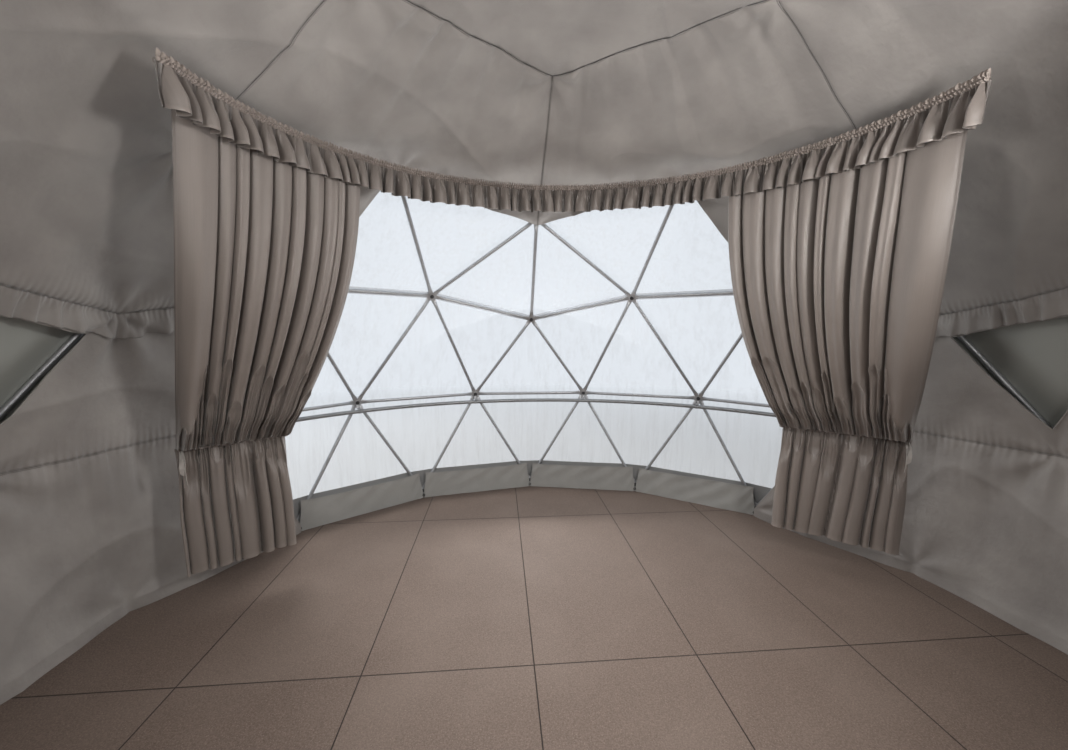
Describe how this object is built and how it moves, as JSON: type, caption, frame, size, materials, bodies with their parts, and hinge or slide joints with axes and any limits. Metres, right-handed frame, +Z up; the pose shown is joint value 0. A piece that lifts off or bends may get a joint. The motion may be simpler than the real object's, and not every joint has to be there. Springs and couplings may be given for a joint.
{
  "type": "geodesic dome tent",
  "caption": "Geodesic glamping dome: galvanised tube frame, white cover, panoramic clear window, hung liner, tied curtains with gathered valance, open doorway and round floor.",
  "frame": {"origin": "middle of the dome's footprint, on the underside of the floor deck", "axes": "+Z up, +X across the window, -Y through the panoramic window, +Y through the doorway"},
  "size_m": [5.917, 5.9496, 3.6616],
  "materials": {
    "galvanised_steel": "galvanised tube, light grey",
    "cover_membrane": "coated white membrane, welded seams",
    "clear_film": "clear flexible film with welded bands",
    "hem_membrane": "opaque coated membrane, grey",
    "skirt_fabric": "pale grey lining fabric",
    "liner_fabric": "warm grey lining with a soft sheen",
    "curtain_fabric": "taupe satin weave",
    "tie_fabric": "pale tape",
    "rail_metal": "painted rail",
    "door_metal": "satin grey paint",
    "deck_boards": "deck boards, sealed",
    "floor_tiles": "speckled brown floor tiles"
  },
  "bodies": {
    "root": {"floor_deck": "deck_boards", "floor_covering": "floor_tiles", "crown_struts": "galvanised_steel", "crown_brace_struts": "galvanised_steel", "roof_ring_struts": "galvanised_steel", "roof_brace_struts": "galvanised_steel", "shoulder_struts": "galvanised_steel", "upper_brace_struts": "galvanised_steel", "belt_struts": "galvanised_steel", "lower_brace_struts": "galvanised_steel", "base_ring_struts": "galvanised_steel", "crown_hubs": "galvanised_steel", "roof_hubs": "galvanised_steel", "shoulder_hubs": "galvanised_steel", "belt_hubs": "galvanised_steel", "base_hubs": "galvanised_steel", "anchor_feet": "galvanised_steel", "stiffening_hoop": "galvanised_steel", "hoop_clamps": "galvanised_steel", "door_ties": "galvanised_steel", "cover_crown": "cover_membrane", "cover_left": "cover_membrane", "cover_back_left": "cover_membrane", "cover_right": "cover_membrane", "cover_back_right": "cover_membrane", "cover_doorway": "cover_membrane", "window_film_upper": "clear_film", "window_film_middle": "clear_film", "window_film_lower": "clear_film", "window_hem": "hem_membrane", "window_skirt": "skirt_fabric", "liner_crown": "liner_fabric", "liner_left": "liner_fabric", "liner_back_left": "liner_fabric", "liner_right": "liner_fabric", "liner_back_right": "liner_fabric", "liner_doorway": "liner_fabric", "curtain_rail": "rail_metal", "rail_brackets": "rail_metal", "valance": "curtain_fabric", "curtain_left": "curtain_fabric", "curtain_right": "curtain_fabric", "tiebacks": "tie_fabric", "door_frame": "door_metal"}
  },
  "joints": []
}
